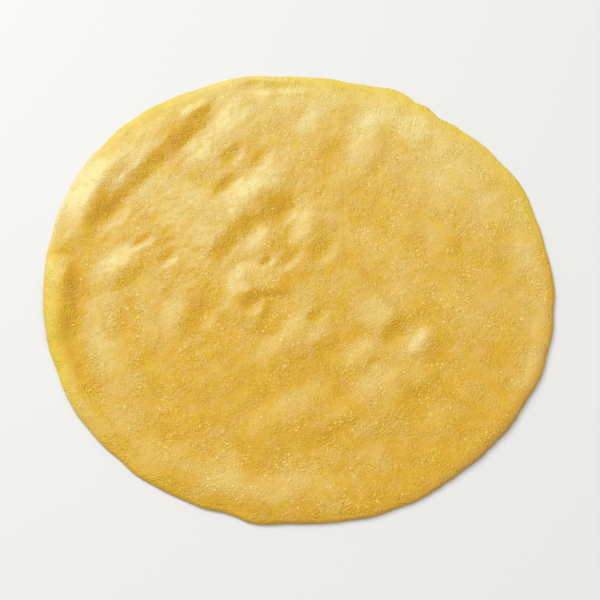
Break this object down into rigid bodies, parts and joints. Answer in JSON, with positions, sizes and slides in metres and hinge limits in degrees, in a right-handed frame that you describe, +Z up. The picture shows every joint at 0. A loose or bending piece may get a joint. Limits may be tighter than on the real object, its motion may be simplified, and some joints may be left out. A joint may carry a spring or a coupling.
{
  "type": "crepe",
  "caption": "Round flat plain crepe, golden yellow, with soft shallow folds, a rolled rim on one side and a fine grainy surface.",
  "frame": {"origin": "under the middle of the crepe's outline box, on the surface it lies on", "axes": "+Z up through the sheet, better side up; -Y towards the near edge, where the sheet lies flattest; the deepest rim roll runs round the -X and +Y side"},
  "size_m": [0.2414, 0.243, 0.0058],
  "materials": {
    "crepe": "matte"
  },
  "bodies": {
    "root": {"crepe": "crepe"}
  },
  "joints": []
}
